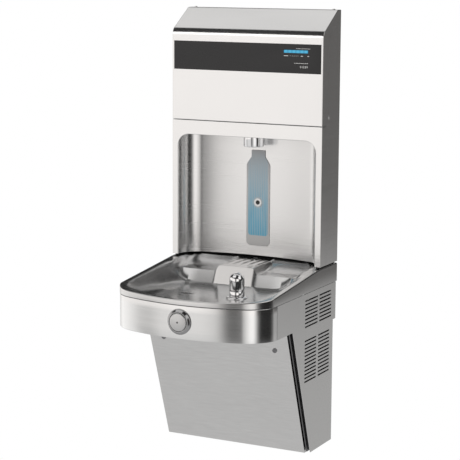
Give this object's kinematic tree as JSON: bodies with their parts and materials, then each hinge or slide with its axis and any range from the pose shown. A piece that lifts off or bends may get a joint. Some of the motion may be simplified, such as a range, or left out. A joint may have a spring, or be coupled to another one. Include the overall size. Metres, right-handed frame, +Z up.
{
  "type": "bottle filling station",
  "caption": "Wall-hung stainless bottle filler over a drinking basin: sensor filler alcove, display strip, push button bubbler, chiller cabinet with louvered sides.",
  "frame": {"origin": "middle of the wall hanger's four bolt holes, on the wall plane", "axes": "+Z up, +Y into the wall, +X to the right of a person facing the station"},
  "size_m": [0.4606, 0.5, 1.1989],
  "materials": {
    "stainless": "brushed, fine horizontal grain",
    "galvanised": "galvanised sheet",
    "chrome": "polished",
    "black_gloss": "glossy black",
    "black_plastic": "moulded black",
    "blue_light": "translucent blue",
    "circuit_board": "printed circuit board",
    "placard_print": "satin grey film with blue dots",
    "brass": "turned",
    "copper": "drawn copper tube",
    "clear_tube": "natural polyethylene",
    "rubber": "matte black",
    "black_paint": "semi-gloss black",
    "foam": "moulded insulation",
    "white_plastic": "moulded white",
    "spring_steel": "drawn wire",
    "fan_metal": "mill finish"
  },
  "bodies": {
    "cabinet": {"rear_shell": "stainless", "top_cover": "stainless", "alcove_frame": "stainless", "alcove_liner": "stainless", "alcove_ceiling": "stainless", "display_panel": "black_gloss", "display_carrier": "black_plastic", "light_guide": "blue_light", "control_board": "circuit_board", "bottle_placard": "placard_print", "sensor_bezel": "chrome", "sensor_lens": "black_gloss", "filler_nozzle": "chrome", "nozzle_insert": "black_plastic", "nozzle_nut": "brass", "fill_tube": "clear_tube", "solenoid_valve": "black_plastic", "riser_tube": "clear_tube", "tube_grommet": "rubber", "cover_screws": "chrome", "head_gasket": "rubber", "basin": "stainless", "drain_cup": "chrome", "waste_pipe": "chrome", "platform_tube": "clear_tube", "bubbler_base": "chrome", "bubbler_body": "chrome", "bubbler_gasket": "rubber", "bubbler_nut": "brass", "basin_brackets": "galvanised", "apron": "stainless", "apron_pan": "galvanised", "button_bezel": "chrome", "bezel_nut": "galvanised", "button_spring": "spring_steel", "valve_body": "brass", "side_panel_left": "stainless", "side_panel_right": "stainless", "front_panel": "stainless", "door_rails": "galvanised", "panel_screws": "chrome", "base_pan": "galvanised", "back_frame": "galvanised", "wall_hanger": "galvanised", "compressor": "black_paint", "compressor_grommets": "rubber", "condenser": "black_paint", "fan_shroud": "black_plastic", "fan_motor": "galvanised", "chiller_tank": "foam", "drier": "copper", "refrigerant_lines": "copper", "filter_head": "black_plastic", "inlet_valve": "brass", "water_lines": "clear_tube", "terminal_box": "black_plastic"},
    "button": {"push_button": "chrome"},
    "plunger": {"valve_plunger": "chrome"},
    "fan": {"fan_blade": "fan_metal"},
    "cartridge": {"filter_cartridge": "white_plastic"}
  },
  "joints": [
    {"name": "button_press", "type": "slide", "parent": "cabinet", "child": "button", "axis": [0, 1, 0], "range_m": [0, 0.005], "stiffness_N_per_m": 900, "springref_m": -0.004, "deforming": ["button_spring"]},
    {"name": "plunger_slide", "type": "slide", "parent": "cabinet", "child": "plunger", "axis": [0, 1, 0], "range_m": [0, 0.005]},
    {"name": "fan_spin", "type": "hinge", "parent": "cabinet", "child": "fan", "pos_m": [0.161, -0.122, -0.145], "axis": [1, 0, 0], "continuous": true},
    {"name": "cartridge_turn", "type": "hinge", "parent": "cabinet", "child": "cartridge", "pos_m": [-0.01, -0.095, -0.11], "axis": [0, 0, 1], "range_deg": [0, 90]}
  ],
  "couplings": [
    {"joint": "plunger_slide", "follows": "button_press", "ratio": 1}
  ]
}
